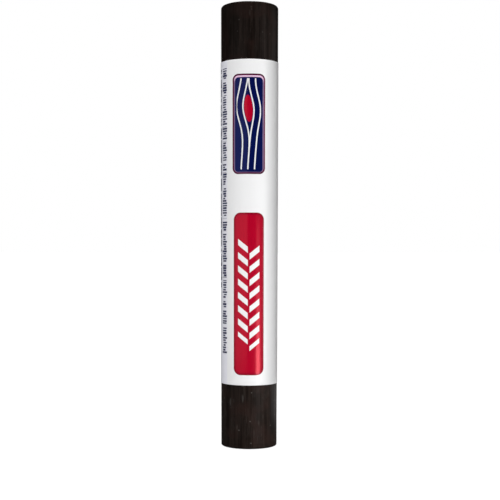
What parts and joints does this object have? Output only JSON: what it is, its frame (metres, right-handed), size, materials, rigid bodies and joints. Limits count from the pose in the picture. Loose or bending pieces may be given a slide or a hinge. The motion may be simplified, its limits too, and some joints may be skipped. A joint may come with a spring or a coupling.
{
  "type": "furniture repair wax stick",
  "caption": "Cast stick of dark wax, slightly tapered with rounded ends, with a printed film label wound round its middle, for filling scratches in wood.",
  "frame": {"origin": "centre of the foot, on the plane that the stick stands on", "axes": "+Z along the stick's axis, from the foot to the poured end; the printed panels face -Y and the label's lap faces +Y"},
  "size_m": [0.0134, 0.0135, 0.1016],
  "materials": {
    "wax": "satin dark brown-black wax with faint lengthwise drag marks",
    "label_film": "glossy white film with printed panels in navy and red"
  },
  "bodies": {
    "root": {"wax_stick": "wax", "label": "label_film"}
  },
  "joints": []
}
